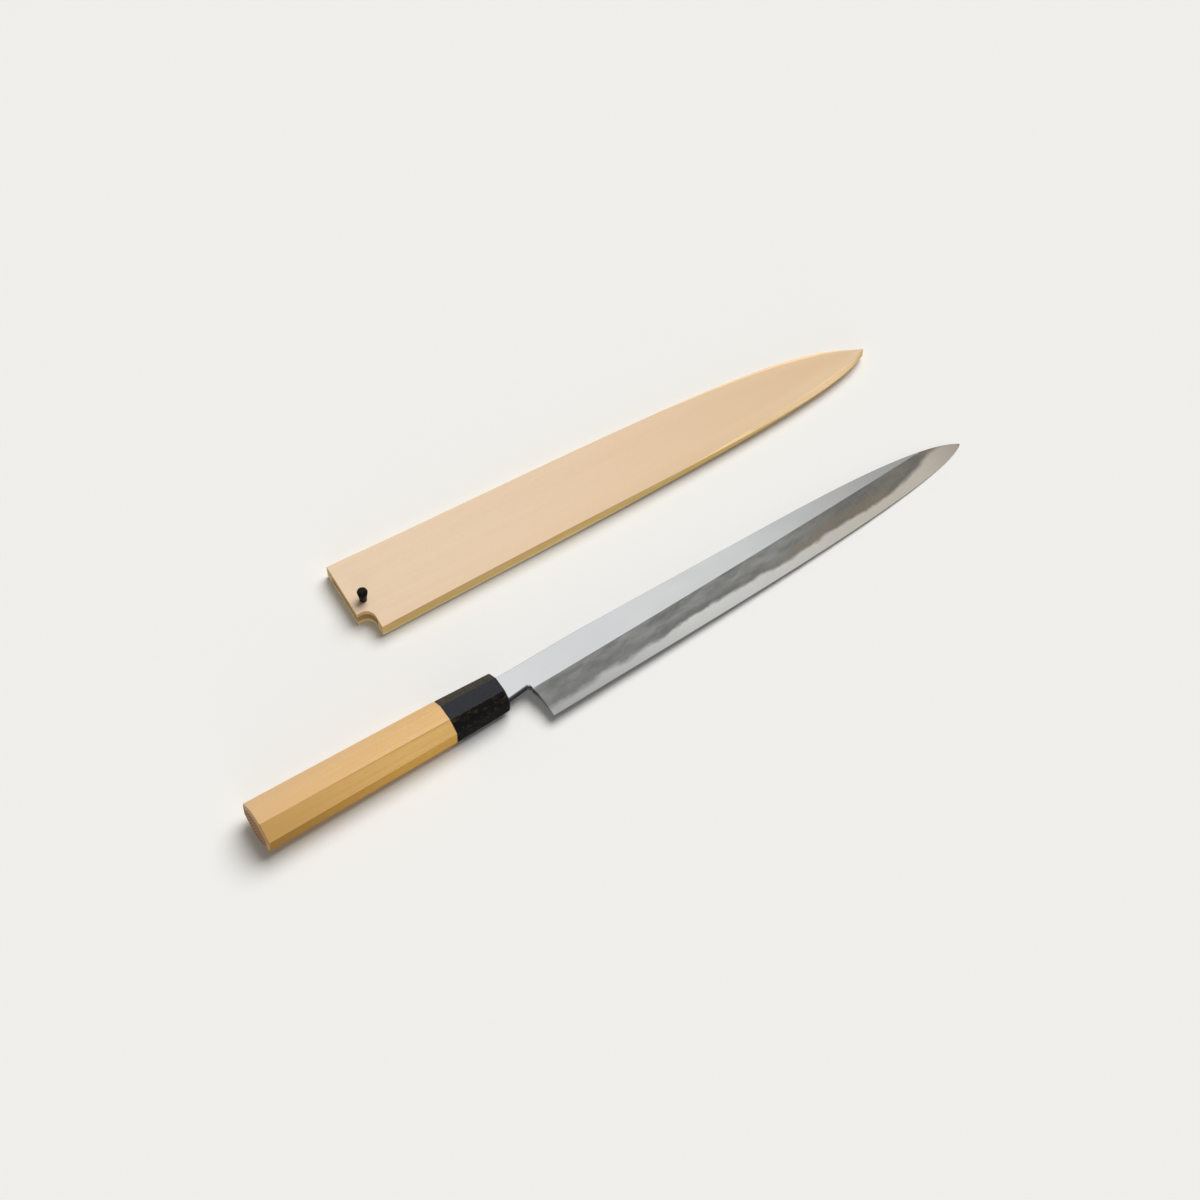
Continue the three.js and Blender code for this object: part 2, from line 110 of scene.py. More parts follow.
UP_THE_BLADE = Vector((math.sin(KNIFE_TURN[1]), 0, math.cos(KNIFE_TURN[1])))
knife_frame = Matrix.LocRotScale(Vector(KNIFE_PLACE), Euler(KNIFE_TURN), Vector((MILLIMETRE,) * 3))
to_knife = knife_frame.inverted()


# Nodes and materials


def add_node(tree, kind, inputs=None, **settings):
    node = tree.nodes.new(kind)
    for name, value in settings.items():
        setattr(node, name, value)
    for key, value in (inputs or {}).items():
        if isinstance(value, bpy.types.NodeSocket):
            tree.links.new(value, node.inputs[key])
        else:
            node.inputs[key].default_value = value
    return node


def new_material(name, metallic=0.0, specular=0.5):
    material = bpy.data.materials.new(name)
    material.use_nodes = True
    tree = material.node_tree
    shader = tree.nodes["Principled BSDF"]
    shader.inputs["Metallic"].default_value = metallic
    shader.inputs["Specular IOR Level"].default_value = specular
    return material, tree, shader


def own_frame(tree, place, turn):
    """Millimetres in the frame of the knife or the sheath."""
    coordinates = add_node(tree, "ShaderNodeTexCoord")
    mapping = add_node(tree, "ShaderNodeMapping", {
        "Vector": coordinates.outputs["Object"],
        "Location": place,
        "Rotation": turn,
        "Scale": (MILLIMETRE,) * 3,
    }, vector_type="TEXTURE")
    return mapping.outputs["Vector"]


def stretched(tree, vector, scale):
    node = add_node(tree, "ShaderNodeVectorMath", {0: vector, 1: scale}, operation="MULTIPLY")
    return node.outputs["Vector"]


def noise(tree, vector, scale, detail=2.0, roughness=0.5):
    """Noise with its own scale along each axis, per millimetre."""
    node = add_node(tree, "ShaderNodeTexNoise", {
        "Vector": stretched(tree, vector, scale),
        "Scale": 1.0,
        "Detail": detail,
        "Roughness": roughness,
    })
    return node.outputs["Fac"]


def calc(tree, operation, a, b=0.0, c=0.0):
    return add_node(tree, "ShaderNodeMath", {0: a, 1: b, 2: c}, operation=operation).outputs["Value"]


def ramp(tree, value, low, high, to_low=0.0, to_high=1.0):
    """A soft step from to_low at low to to_high at high."""
    node = add_node(tree, "ShaderNodeMapRange", {
        "Value": value,
        "From Min": low,
        "From Max": high,
        "To Min": to_low,
        "To Max": to_high,
    }, interpolation_type="SMOOTHSTEP")
    return node.outputs["Result"]


def mixed(tree, factor, a, b):
    node = add_node(tree, "ShaderNodeMix", data_type="RGBA")
    for key, value in (("Factor", factor), ("A", a), ("B", b)):
        socket = next(socket for socket in node.inputs if socket.name == key and socket.enabled)
        if isinstance(value, bpy.types.NodeSocket):
            tree.links.new(value, socket)
        else:
            socket.default_value = value
    return next(socket for socket in node.outputs if socket.enabled)


def bump(tree, height, distance, strength):
    node = add_node(tree, "ShaderNodeBump", {
        "Height": height,
        "Distance": distance,
        "Strength": strength,
    })
    return node.outputs["Normal"]


def connect(tree, shader, **sockets):
    names = {"colour": "Base Color", "roughness": "Roughness", "normal": "Normal"}
    for name, value in sockets.items():
        tree.links.new(value, shader.inputs[names[name]])


def fibres_of(tree, grain, contrast):
    """Tone of straight grain along X from 0 to 1, and the fine fibres for roughness and bump."""
    broad = noise(tree, grain, (0.004, 0.11, 0.11), detail=3)
    streaks = noise(tree, grain, (0.008, 0.75, 0.75), detail=3, roughness=0.6)
    fibres = noise(tree, grain, (0.05, 3.2, 3.2), detail=3, roughness=0.65)
    flecks = noise(tree, grain, (0.9, 2.4, 2.4), detail=2, roughness=0.6)
    tone = calc(tree, "MULTIPLY", broad, 0.30)
    tone = calc(tree, "MULTIPLY_ADD", streaks, 0.28, tone)
    tone = calc(tree, "MULTIPLY_ADD", fibres, 0.20, tone)
    tone = calc(tree, "MULTIPLY_ADD", flecks, 0.22, tone)
    return ramp(tree, tone, 0.5 - contrast, 0.5 + contrast), fibres


def wood(name, place, turn, pale, deep, pore, specular=0.3, softness=0.15, far=None, leaning=None):
    """Bare wood with straight grain along X: broad streaks, fibres, flecks and short pores.

    Far is a range along the grain and the colour that the wood takes on over it.
    The last argument is a lighter colour, a painted light, given where the wood is marked as turned to
    the near side.
    """
    material, tree, shader = new_material(name, specular=specular)
    grain = own_frame(tree, place, turn)
    tone, fibres = fibres_of(tree, grain, softness)
    dashes = noise(tree, grain, (0.3, 4.2, 4.2), detail=1)
    pores = ramp(tree, dashes, 0.62, 0.75, 0.0, 0.3)
    colour = mixed(tree, pores, mixed(tree, tone, pale, deep), pore)
    if far:
        along = add_node(tree, "ShaderNodeSeparateXYZ", {"Vector": grain}).outputs["X"]
        colour = mixed(tree, ramp(tree, along, *far[0], 0.0, 0.8), colour, far[1])
    if leaning:
        lean = add_node(tree, "ShaderNodeAttribute", attribute_name=LEANING).outputs["Fac"]
        colour = mixed(tree, lean, colour, leaning)
    connect(
        tree,
        shader,
        colour=colour,
        roughness=ramp(tree, fibres, 0.3, 0.7, 0.46, 0.62),
        normal=bump(tree, fibres, 0.00012, 0.3),
    )
    return material


def end_grain(name, pale, deep):
    """Cut end of the grip: growth rings around a pith that lies off to one side."""
    material, tree, shader = new_material(name, specular=0.2)
    cut = own_frame(tree, KNIFE_PLACE, KNIFE_TURN)
    from_pith = add_node(tree, "ShaderNodeVectorMath", {0: cut, 1: PITH_AWAY}, operation="ADD")
    rings = add_node(tree, "ShaderNodeTexWave", {
        "Vector": from_pith.outputs["Vector"],
        "Scale": 0.2,
        "Distortion": 2.5,
        "Detail": 2.0,
        "Detail Scale": 0.6,
    }, wave_type="RINGS", rings_direction="X")
    pores = noise(tree, cut, (1.5, 3.5, 3.5), detail=3, roughness=0.7)
    tone = calc(tree, "MULTIPLY_ADD", rings.outputs["Fac"], 0.45, calc(tree, "MULTIPLY", pores, 0.55))
    connect(
        tree,
        shader,
        colour=mixed(tree, ramp(tree, tone, 0.2, 0.8), deep, pale),
        roughness=ramp(tree, pores, 0.3, 0.7, 0.55, 0.75),
        normal=bump(tree, pores, 0.0002, 0.4),
    )
    return material


def horn(name, base, brown, scuffed):
    """Polished dark horn with a share of brown streaks under the surface and some dull scuffs."""
    material, tree, shader = new_material(name, specular=0.45)
    grain = own_frame(tree, KNIFE_PLACE, KNIFE_TURN)
    streaks = noise(tree, grain, (0.05, 0.4, 0.4), detail=3)
    mottle = noise(tree, grain, (0.35, 0.6, 0.6), detail=4, roughness=0.65)
    scuffs = noise(tree, grain, (0.5, 1.6, 1.6), detail=4, roughness=0.7)
    colour = mixed(tree, ramp(tree, streaks, 0.5, 0.8, 0.0, brown), base, (0.020, 0.013, 0.007, 1))
    colour = mixed(tree, ramp(tree, mottle, 0.50, 0.72, 0.0, brown), colour, (0.050, 0.034, 0.014, 1))
    connect(
        tree,
        shader,
        colour=mixed(tree, ramp(tree, scuffs, 0.60, 0.8, 0.0, scuffed), colour, (0.06, 0.055, 0.05, 1)),
        roughness=ramp(tree, scuffs, 0.35, 0.75, 0.22, 0.42),
        normal=bump(tree, mottle, 0.0003, 0.25),
    )
    return material


def dark_wood():
    """Oiled near-black hardwood of the pin, with grain along its axis and a red tint at its foot as
    painted warm bounce light.
    """
    material, tree, shader = new_material("dark_hardwood", specular=0.13)
    grain = own_frame(tree, SHEATH_PLACE, SHEATH_TURN)
    fibres = noise(tree, grain, (2.2, 2.2, 0.25), detail=3)
    height = add_node(tree, "ShaderNodeSeparateXYZ", {"Vector": grain}).outputs["Z"]
    painted_warm_bounce = ramp(tree, height, SHEATH_TOP, SHEATH_TOP + PIN_HEAD, 1.0, 0.15)
    tone = ramp(tree, fibres, 0.35, 0.75)
    colour = mixed(tree, tone, (0.003, 0.003, 0.004, 1), (0.010, 0.007, 0.006, 1))
    connect(
        tree,
        shader,
        colour=mixed(tree, painted_warm_bounce, colour, (0.024, 0.008, 0.005, 1)),
        roughness=ramp(tree, fibres, 0.3, 0.7, 0.2, 0.32),
        normal=bump(tree, fibres, 0.0001, 0.15),
    )
    return material


def along_blade(tree, local):
    """0 at the heel and 1 at the tip, with the knife's own X and Z."""
    split = add_node(tree, "ShaderNodeSeparateXYZ", {"Vector": local})
    share = calc(tree, "DIVIDE", calc(tree, "SUBTRACT", split.outputs["X"], HEEL), EDGE_LENGTH)
    return share, split.outputs["Z"]


def satin_steel():
    """The flat and the spine: bright satin with fine lines along the blade, in a colour that is brighter
    towards the middle and darker to the tip as a painted reflection.
    """
    material, tree, shader = new_material("satin_steel", metallic=1.0)
    local = own_frame(tree, KNIFE_PLACE, KNIFE_TURN)
    share = along_blade(tree, local)[0]
    lines = noise(tree, local, (0.03, 9, 9), detail=3, roughness=0.7)
    haze = noise(tree, local, (0.03, 0.06, 0.06), detail=3)
    # painted reflection: the flat's colour brightens from the heel to the middle of the blade and
    # darkens to the tip
    bright = mixed(tree, ramp(tree, share, 0.05, 0.4), (0.67, 0.685, 0.69, 1), (0.76, 0.775, 0.775, 1))
    bright = mixed(tree, ramp(tree, haze, 0.3, 0.7, 0.0, 0.5), bright, (0.66, 0.675, 0.68, 1))
    connect(
        tree,
        shader,
        colour=mixed(tree, ramp(tree, share, 0.45, 0.95), bright, (0.48, 0.48, 0.46, 1)),
        roughness=ramp(tree, lines, 0.3, 0.7, 0.18, 0.26),
        normal=bump(tree, lines, 0.00002, 0.1),
    )
    return material


def polished_steel(name, pale, deep):
    """Mirror polish with faint marks, for the neck, the choil and the heel."""
    material, tree, shader = new_material(name, metallic=1.0)
    local = own_frame(tree, KNIFE_PLACE, KNIFE_TURN)
    marks = noise(tree, local, (1.2, 1.2, 3.5), detail=4, roughness=0.7)
    connect(
        tree,
        shader,
        colour=mixed(tree, ramp(tree, marks, 0.4, 0.7), pale, deep),
        roughness=ramp(tree, marks, 0.3, 0.7, 0.10, 0.2),
        normal=bump(tree, marks, 0.00002, 0.1),
    )
    return material


def cloudy_bevel():
    """The bevel: dark hazy iron, a bright band of steel at the edge and a cloudy border between them."""
    material, tree, shader = new_material("cloudy_bevel", metallic=1.0)
    local = own_frame(tree, KNIFE_PLACE, KNIFE_TURN)
    share, level = along_blade(tree, local)
    squared = calc(tree, "MULTIPLY", share, share)
    thickness = calc(tree, "MULTIPLY_ADD", share, -EVEN_THINNING, SPINE_THICKNESS)
    thickness = calc(tree, "MULTIPLY_ADD", squared, -LATE_THINNING, thickness)
    height = calc(tree, "DIVIDE", calc(tree, "SUBTRACT", level, BACK_LEVEL), thickness)

    slanted = own_frame(tree, KNIFE_PLACE, (0, KNIFE_TURN[1], WISP_SLANT))
    waves = noise(tree, local, (0.028, 0.02, 0), detail=1)
    clouds = noise(tree, local, (0.10, 0.13, 0), detail=5, roughness=0.62)
    wisps = noise(tree, slanted, (0.07, 0.34, 0), detail=5, roughness=0.62)
    patches = noise(tree, local, (0.035, 0.16, 0), detail=4, roughness=0.6)
    stains = noise(tree, local, (0.03, 0.10, 0), detail=3)
    streaks = noise(tree, local, (1.3, 0.12, 0.12), detail=3, roughness=0.65)
    grit = noise(tree, local, (1.1, 1.6, 0), detail=3, roughness=0.7)

    rise = ramp(tree, share, 0.02, 0.30, 0.02, 0.125)
    rise = calc(tree, "ADD", rise, ramp(tree, share, 0.81, 0.93, 0.0, 0.22))
    rise = calc(tree, "ADD", rise, ramp(tree, share, 0.90, 0.97, 0.0, 0.44))
    border = calc(tree, "MULTIPLY_ADD", waves, 0.22, rise)
    border = calc(tree, "MULTIPLY_ADD", clouds, 0.22, border)
    above = calc(tree, "SUBTRACT", height, calc(tree, "MULTIPLY_ADD", wisps, 0.06, border))
    softness = ramp(tree, share, 0.05, 0.3, 1.8, 1.0)
    softness = calc(tree, "ADD", softness, ramp(tree, share, 0.78, 0.95, 0.0, 1.4))
    above = calc(tree, "DIVIDE", above, softness)
    steel = ramp(tree, above, -0.07, 0.04, 1.0, 0.0)
    fringe = ramp(tree, above, 0.0, 0.05)
    fringe = calc(tree, "MULTIPLY", fringe, ramp(tree, above, 0.08, 0.26, 0.45, 0.0))
    warmth = ramp(tree, share, 0.35, 0.7)
    warmth = calc(tree, "MULTIPLY", warmth, ramp(tree, stains, 0.42, 0.62, 0.1, 0.6))
    warmth = calc(tree, "MULTIPLY", warmth, ramp(tree, above, 0.05, 0.45, 1.0, 0.15))

    iron = mixed(tree, ramp(tree, patches, 0.34, 0.66), (0.235, 0.24, 0.23, 1), (0.385, 0.385, 0.365, 1))
    iron = mixed(tree, ramp(tree, wisps, 0.48, 0.70, 0.0, 0.5), iron, (0.46, 0.46, 0.44, 1))
    iron = mixed(tree, fringe, iron, (0.20, 0.20, 0.195, 1))
    iron = mixed(tree, ramp(tree, share, 0.5, 0.75, 0.0, 0.65), iron, (0.17, 0.165, 0.15, 1))
    iron = mixed(tree, warmth, iron, (0.36, 0.29, 0.20, 1))
    iron = mixed(tree, ramp(tree, streaks, 0.45, 0.8, 0.0, 0.2), iron, (0.44, 0.44, 0.43, 1))
    iron = mixed(tree, ramp(tree, share, 0.0, 0.04, 0.3, 0.0), iron, (0.50, 0.505, 0.50, 1))
    band = mixed(tree, ramp(tree, share, 0.0, 0.4), (0.58, 0.585, 0.565, 1), (0.80, 0.80, 0.77, 1))
    band = mixed(tree, ramp(tree, share, 0.42, 0.82), band, (0.71, 0.655, 0.565, 1))
    band = mixed(tree, ramp(tree, share, 0.88, 1.0), band, (0.59, 0.51, 0.43, 1))
    band = mixed(tree, ramp(tree, grit, 0.40, 0.70, 0.0, 0.22), band, (0.45, 0.45, 0.43, 1))
    connect(
        tree,
        shader,
        colour=mixed(tree, steel, iron, band),
        roughness=ramp(tree, steel, 0.0, 1.0, 0.42, 0.30),
        normal=bump(tree, streaks, 0.00002, 0.1),
    )
    return material


# Pieces


def only(piece):
    bpy.ops.object.select_all(action="DESELECT")
    piece.select_set(True)
    bpy.context.view_layer.objects.active = piece


def dressed(node, name, body, slot, *materials):
    """A copy of a solid, with its loose triangles joined, that stands for it."""
    only(frame["nodes"][node])
    bpy.ops.object.duplicate()
    piece = bpy.context.object
    piece.name = name
    piece.data.name = name
    del piece["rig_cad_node"]
    bpy.ops.object.mode_set(mode="EDIT")
    bpy.ops.mesh.select_all(action="SELECT")
    bpy.ops.mesh.remove_doubles(threshold=MERGED)
    bpy.ops.mesh.customdata_custom_splitnormals_clear()
    bpy.ops.object.mode_set(mode="OBJECT")
    piece.data.materials.clear()
    for material in materials:
        piece.data.materials.append(material)
    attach(piece, body)
    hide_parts(node)
    return piece


def select_faces(piece, rule):
    """Opens the piece in edit mode with only the faces selected that the rule picks."""
    only(piece)
    bpy.ops.object.mode_set(mode="EDIT")
    bpy.ops.mesh.select_mode(type="FACE")
    bpy.ops.mesh.select_all(action="DESELECT")
    bpy.ops.object.mode_set(mode="OBJECT")
    for face in piece.data.polygons:
        face.select = rule(face)
    bpy.ops.object.mode_set(mode="EDIT")


def join_flat_faces(piece, within, rule=lambda face: True):
    """Joins the faces that the rule picks where they bend by less than so many degrees."""
    select_faces(piece, rule)
    bpy.ops.mesh.dissolve_limited(angle_limit=math.radians(within))
    bpy.ops.object.mode_set(mode="OBJECT")


def edge_sides(mesh):
    """The faces on either side of each edge."""
    sides = {}
    for face in mesh.polygons:
        for key in face.edge_keys:
            sides.setdefault(key, []).append(face)
    return sides


def sharper_than(angle):
    """A rule for edges that bend by more than so many degrees."""
    return lambda edge, one, other: one.normal.angle(other.normal) > math.radians(angle)


def round_edges(piece, width, rule, finish, segments, clamp=True):
    """Rounds edges by the share of the width in millimetres that the rule gives.

    The rule sees the edge and the two faces that it joins. A finish is given to the rounded edges.
    """
    only(piece)
    mesh = piece.data
    sides = edge_sides(mesh)
    weights = mesh.attributes.get("bevel_weight_edge")
    if weights is None:
        weights = mesh.attributes.new("bevel_weight_edge", "FLOAT", "EDGE")
    for edge in mesh.edges:
        weights.data[edge.index].value = float(rule(edge, *sides[edge.key]))
    rounding = piece.modifiers.new("rounded edges", "BEVEL")
    rounding.width = width * MILLIMETRE
    rounding.segments = segments
    rounding.limit_method = "WEIGHT"
    rounding.material = finish
    rounding.use_clamp_overlap = clamp
    bpy.ops.object.modifier_apply(modifier=rounding.name)
    bpy.ops.object.mode_set(mode="EDIT")
    bpy.ops.mesh.select_all(action="SELECT")
    bpy.ops.mesh.dissolve_degenerate(threshold=MERGED)
    bpy.ops.object.mode_set(mode="OBJECT")


def smooth(piece, under):
    """Smooth shading across edges that bend by less than so many degrees."""
    only(piece)
    bpy.ops.object.shade_smooth_by_angle(angle=math.radians(under))


def smooth_by_area(piece, under):
    """Smooth shading in which a large flat face stays flat beside its rounded edges."""
    smooth(piece, under)
    shading = piece.modifiers.new("area shading", "WEIGHTED_NORMAL")
    shading.keep_sharp = True
    bpy.ops.object.modifier_apply(modifier=shading.name)


def finish_faces(piece, rule):
    """Gives each face the finish whose number the rule returns."""
    for face in piece.data.polygons:
        face.material_index = rule(face)


# Blade

SATIN, BEVEL, POLISH, ARRIS = range(4)
# The polished sides and the rounded arris are one steel in two colours: the dark sides are painted shade
# and the pale arris is a painted highlight.
blade_finishes = (
    satin_steel(),
    cloudy_bevel(),
    polished_steel("polished_side_painted_shade", (0.30, 0.32, 0.36, 1), (0.22, 0.24, 0.28, 1)),
    polished_steel("polished_arris", (0.68, 0.69, 0.72, 1), (0.58, 0.59, 0.62, 1)),
)


def ridge_at(x):
    """The ridge line, nearly straight, which runs out on the spine near the tip."""
    share = (x - HEEL) / RIDGE_LENGTH
    return RIDGE_HEEL + (RIDGE_END - RIDGE_HEEL) * share - RIDGE_BOW * 4 * share * (1 - share)


def blade_finish(face):
    """Upper faces below the ridge line are bevel, and sides at the neck and the heel are polished."""
    centre = to_knife @ face.center
    below_ridge = centre.y < ridge_at(centre.x) or centre.x > HEEL + RIDGE_LENGTH
    if face.normal.z > UPWARD and below_ridge:
        return BEVEL
    if abs(face.normal.z) < UPWARD and centre.x < POLISHED_TO and centre.y < 0:
        return POLISH
    return SATIN


def polished_arris(edge, one, other):
    """The share of the rounding: full at the neck and the choil, fading out down the heel."""
    polished, upper = (one, other) if one.material_index == POLISH else (other, one)
    ends = [to_knife @ one.id_data.vertices[index].co for index in edge.vertices]
    if polished.material_index != POLISH or upper.material_index == POLISH or upper.normal.z < UPWARD:
        return 0
    left = min(end.y for end in ends) - HEEL_ROUNDED_TO
    return min(max(left / HEEL_ROUNDING_FADE, 0), 1)


def finish_blade(piece):
    """Finishes the faces, rounds the polished edges and keeps lines between finishes sharp."""
    join_flat_faces(piece, within=0.2, rule=lambda face: (to_knife @ face.center).x < JOINED_TO)
    finish_faces(piece, blade_finish)
    round_edges(piece, ARRIS_ROUNDING, polished_arris, finish=ARRIS, segments=5, clamp=False)
    smooth(piece, under=30)
    mesh = piece.data
    sides = edge_sides(mesh)
    for edge in mesh.edges:
        if len({face.material_index for face in sides[edge.key]}) > 1:
            edge.use_edge_sharp = True


def close_weld(piece):
    """The steel grows up to the iron along the bevel, so that no seam is left open on the blade."""
    mesh = piece.data
    bevel_normals = {}
    weld_points = set()
    for face in mesh.polygons:
        if blade_finish(face) == BEVEL and face.normal.y < -TILTED:
            for index in face.vertices:
                bevel_normals[index] = face.normal
        elif face.normal.z > LEVEL:
            weld_points.update(face.vertices)
    seam = WELD_SEAM * MILLIMETRE
    for index in weld_points:
        across = 0
        if index in bevel_normals:
            normal = bevel_normals[index]
            across = -seam * normal.z / normal.y
        mesh.vertices[index].co += UP_THE_BLADE * seam + Vector((0, across, 0))


iron = dressed("blade_iron", "blade_iron_body", "knife", "soft_iron", *blade_finishes)
finish_blade(iron)
steel = dressed("blade_steel", "blade_steel_layer", "knife", "hard_steel", *blade_finishes)
close_weld(steel)
finish_blade(steel)

# Handle

HORN_TOP, HORN_SIDE, HORN_EDGE = range(3)
ferrule = dressed(
    "ferrule",
    "horn_ferrule",
    "knife",
    "horn",
    # the top's bluish tint, with fewer brown streaks, is a painted sheen; the sides are the same horn
    horn("dark_horn_top_painted_sheen", (0.003, 0.004, 0.009, 1), brown=0.1, scuffed=0.2),
    horn("dark_horn_side", (0.003, 0.003, 0.003, 1), brown=0.9, scuffed=0.3),
    horn("worn_horn_edge", (0.016, 0.017, 0.019, 1), brown=0.3, scuffed=0.9),
)
join_flat_faces(ferrule, within=0.4)
finish_faces(ferrule, lambda face: HORN_TOP if face.normal.z > SQUARE else HORN_SIDE)
round_edges(ferrule, FERRULE_ROUNDING, sharper_than(25), finish=HORN_EDGE, segments=3)
smooth_by_area(ferrule, under=35)


def handle_wood(name, pale, deep, pore, **changes):
    return wood(name, KNIFE_PLACE, KNIFE_TURN, pale, deep, pore, **changes)


# Top, chamfer and sides are one wood in lit and shaded copies: the paler top is a painted sheen, the
# deeper gold of the chamfer is painted shade, and the saturated gold of the sides is painted warm bounce
# light. All three darken towards the butt.
grip_wood = handle_wood(
    "grip_wood",
    pale=(0.78, 0.50, 0.225, 1),
    deep=(0.69, 0.42, 0.165, 1),
    pore=(0.45, 0.24, 0.07, 1),
    specular=1.0,
    far=((-60, -150), (0.66, 0.42, 0.20, 1)),
)
chamfer_wood = handle_wood(
    "grip_chamfer_wood_painted_shade",
    pale=(0.80, 0.50, 0.18, 1),
    deep=(0.67, 0.385, 0.115, 1),
    pore=(0.40, 0.21, 0.06, 1),
    specular=0.6,
    far=((-50, -150), (0.55, 0.31, 0.095, 1)),
)
side_wood = handle_wood(
    "grip_side_wood_painted_bounce",
    pale=(0.90, 0.50, 0.10, 1),
    deep=(0.74, 0.38, 0.06, 1),
    pore=(0.45, 0.22, 0.04, 1),
    far=((-40, -150), (0.40, 0.20, 0.03, 1)),
)
edge_wood = handle_wood(
    "grip_edge_wood",
    pale=(0.62, 0.37, 0.13, 1),
    deep=(0.44, 0.24, 0.07, 1),
    pore=(0.34, 0.17, 0.05, 1),
)
end_wood = end_grain(
    "grip_end_wood",
    pale=(0.52, 0.30, 0.14, 1),
    deep=(0.34, 0.17, 0.07, 1),
)
TOP, CHAMFER, FLANK, BUTT, EDGE = range(5)


def grip_finish(face):
    if face.normal.x < -SQUARE:
        return BUTT
    if abs(face.normal.y) > SQUARE:
        return FLANK
    return CHAMFER if face.normal.y < -SIDEWAYS else TOP


def butt_rim(edge, one, other):
    return (one.material_index == BUTT) != (other.material_index == BUTT)


def handled_edge(edge, one, other):
    """The edge between the top and the near chamfer."""
    top_and_chamfer = {one.material_index, other.material_index} == {TOP, CHAMFER}
    return top_and_chamfer and one.normal.z + other.normal.z > 1


grip = dressed(
    "grip",
    "wooden_grip",
    "knife",
    "grip_wood",
    grip_wood,
    chamfer_wood,
    side_wood,
    end_wood,
    edge_wood,
)
join_flat_faces(grip, within=0.4)
finish_faces(grip, grip_finish)
round_edges(grip, BUTT_ROUNDING, butt_rim, finish=TOP, segments=4)
round_edges(grip, HANDLED_ROUNDING, handled_edge, finish=EDGE, segments=3)
smooth_by_area(grip, under=35)

# Sheath

FACE, SIDE, WORN_AND_HIGHLIT = range(3)


def sheath_wood(name, pale, deep, pore, **changes):
    return wood(name, SHEATH_PLACE, SHEATH_TURN, pale, deep, pore, **changes)


face_wood = sheath_wood(
    "sheath_face_wood",
    pale=(0.81, 0.625, 0.445, 1),
    deep=(0.76, 0.57, 0.39, 1),
    pore=(0.60, 0.41, 0.25, 1),
    softness=0.22,
    far=((60, 340), (0.68, 0.475, 0.285, 1)),
    # a lighter gold where the face turns to the near side: painted light against its shade
    leaning=(0.84, 0.62, 0.40, 1),
)
front_side = sheath_wood(
    "front_side_wood",
    pale=(0.92, 0.63, 0.31, 1),
    deep=(0.80, 0.49, 0.19, 1),
    pore=(0.46, 0.25, 0.09, 1),
    far=((160, 310), (0.95, 0.70, 0.38, 1)),
)
back_side = sheath_wood(
    "back_side_wood",
    pale=(1.0, 0.84, 0.50, 1),
    deep=(0.95, 0.72, 0.36, 1),
    pore=(0.60, 0.36, 0.15, 1),
)
core_wood = sheath_wood(
    "core_wood",
    pale=(0.97, 0.72, 0.31, 1),
    deep=(0.82, 0.54, 0.16, 1),
    pore=(0.46, 0.25, 0.07, 1),
)
planed_core = sheath_wood(
    "planed_core_wood",
    pale=(0.96, 0.70, 0.43, 1),
    deep=(0.87, 0.61, 0.34, 1),
    pore=(0.64, 0.42, 0.22, 1),
)
# pale rounded edges: partly real wear and partly a painted highlight along the arris
worn_highlit_wood = sheath_wood(
    "worn_edge_wood_painted_highlight",
    pale=(0.90, 0.74, 0.55, 1),
    deep=(0.80, 0.62, 0.43, 1),
    pore=(0.66, 0.46, 0.28, 1),
)


def sheath_finish(face):
    """The planed faces look up or down, away from the core."""
    outward = face.normal.z * (face.center.z - CORE_MIDDLE * MILLIMETRE) > 0
    return FACE if abs(face.normal.z) > PLANED and outward else SIDE


def outer_arris(edge, one, other):
    """A sharp edge of the mouth or the near side, not in a glue line and not near the tip."""
    ends = [one.id_data.vertices[index].co / MILLIMETRE for index in edge.vertices]
    glued = all(abs(abs(end.z - CORE_MIDDLE) - CORE_HALF - GLUE_LINE) < GLUE_LINE / 2 for end in ends)
    far_side = max(one.normal.y, other.normal.y) > SIDEWAYS
    at_tip = any(end.x > WORN_TO for end in ends)
    return sharper_than(30)(edge, one, other) and not (glued or far_side or at_tip)


def mark_leaning(piece):
    """Notes at each point how far the planed wood around it leans to the near side, from 0 to 1, where
    the wood gets a lighter colour as painted light.
    """
    mesh = piece.data
    around = [[] for point in mesh.vertices]
    for face in mesh.polygons:
        if face.material_index == FACE:
            for index in face.vertices:
                around[index].append(-face.normal.y / MOST_LEAN)
    marks = mesh.attributes.new(LEANING, "FLOAT", "POINT")
    for index, leans in enumerate(around):
        if leans:
            marks.data[index].value = min(max(sum(leans) / len(leans), 0), 1)


for node, name, flat, side in (
    ("sheath_front_board", "front_board", face_wood, front_side),
    ("sheath_back_board", "back_board", face_wood, back_side),
):
    board = dressed(node, name, "sheath", "sheath_wood", flat, side, worn_highlit_wood)
    join_flat_faces(board, within=0.2)
    finish_faces(board, sheath_finish)
    round_edges(board, WORN_ROUNDING, outer_arris, finish=WORN_AND_HIGHLIT, segments=2)
    mark_leaning(board)
    smooth_by_area(board, under=35)

for node, name in (("sheath_spine_strip", "spine_side_strip"), ("sheath_edge_strip", "edge_side_strip")):
    strip = dressed(node, name, "sheath", "sheath_core", planed_core, core_wood)
    join_flat_faces(strip, within=0.2)
    finish_faces(strip, sheath_finish)
    bpy.ops.object.mode_set(mode="EDIT")
    bpy.ops.mesh.select_all(action="SELECT")
    bpy.ops.transform.resize(  # the strips close the glue lines
        value=(1, 1, (CORE_HALF + GLUE_LINE) / CORE_HALF),
        center_override=(0, 0, CORE_MIDDLE * MILLIMETRE),
    )
    bpy.ops.object.mode_set(mode="OBJECT")
    smooth_by_area(strip, under=35)

pin = dressed("sheath_pin", "retaining_pin", "pin", "dark_wood", dark_wood())
smooth(pin, under=40)


# Floor, light and camera

